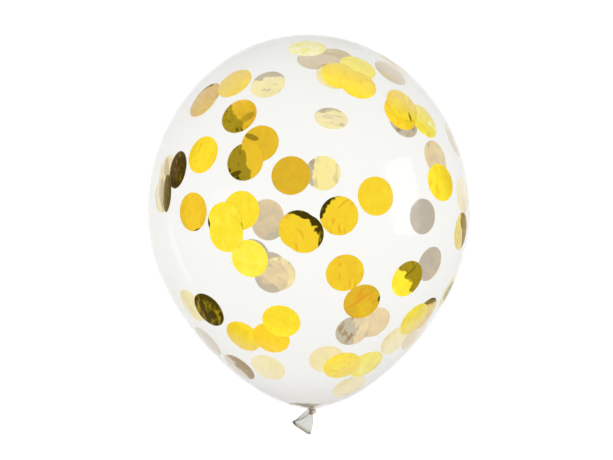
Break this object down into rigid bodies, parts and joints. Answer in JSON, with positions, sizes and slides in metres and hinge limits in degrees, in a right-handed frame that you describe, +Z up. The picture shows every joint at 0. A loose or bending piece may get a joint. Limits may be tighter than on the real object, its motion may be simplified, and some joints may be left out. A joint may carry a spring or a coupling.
{
  "type": "confetti balloon",
  "caption": "Blown-up clear latex party balloon, tied with a knot and lying on its side, with round foil confetti clinging to the inside of its skin.",
  "frame": {"origin": "middle of the flat spot that the balloon lies on, under its widest ring", "axes": "+Z up, +Y along the balloon from its knot to its crown, +X across it"},
  "size_m": [0.28, 0.3469, 0.2786],
  "materials": {
    "clear_latex": "gloss",
    "gold_foil": "gloss",
    "pale_foil": "satin"
  },
  "bodies": {
    "root": {"latex_balloon": "clear_latex"}
  },
  "joints": []
}
